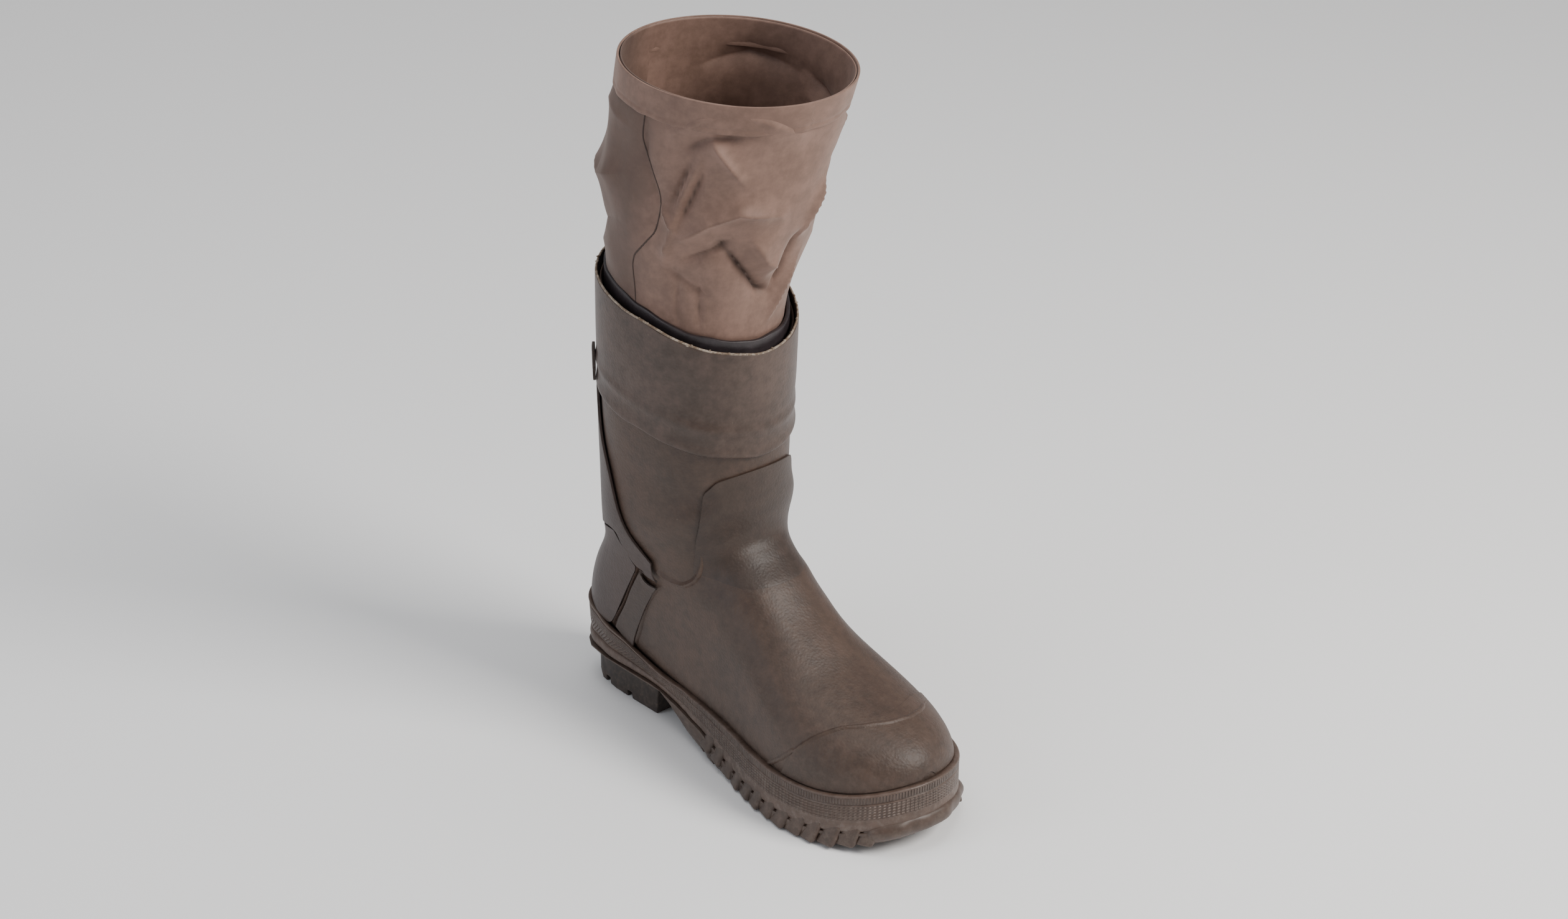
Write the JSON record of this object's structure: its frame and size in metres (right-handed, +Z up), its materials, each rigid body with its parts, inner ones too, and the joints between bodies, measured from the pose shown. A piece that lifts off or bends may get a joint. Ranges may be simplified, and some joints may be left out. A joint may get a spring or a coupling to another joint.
{
  "type": "bootfoot wader",
  "caption": "Rubber boot with a ribbed cleated sole, folded-down cuff and the lower end of a fabric wader leg, left foot, standing empty.",
  "frame": {"origin": "on the floor under the middle of the heel block, at its resting face", "axes": "+Z up along the shaft; -Y from the heel to the toe; -X to the foot's inner side, +X to its outer side (left foot)"},
  "size_m": [0.1445, 0.3129, 0.4654],
  "materials": {
    "brown_rubber": "satin, fine leather-like grain",
    "dark_rubber": "satin",
    "sole_rubber": "matte",
    "black_band": "semi-gloss",
    "leg_fabric": "coated cloth, matte",
    "lining": "matte"
  },
  "bodies": {
    "root": {"upper": "brown_rubber", "foxing": "brown_rubber", "outsole": "sole_rubber", "heel": "dark_rubber", "insole": "lining", "cuff": "brown_rubber", "liner": "black_band", "back_stay": "brown_rubber", "heel_counter": "brown_rubber", "side_strip_inner": "dark_rubber", "side_strip_outer": "dark_rubber", "toe_cap": "brown_rubber", "shin_panel": "brown_rubber", "cuff_tab": "dark_rubber", "leg": "leg_fabric", "leg_hem": "leg_fabric"}
  },
  "joints": []
}
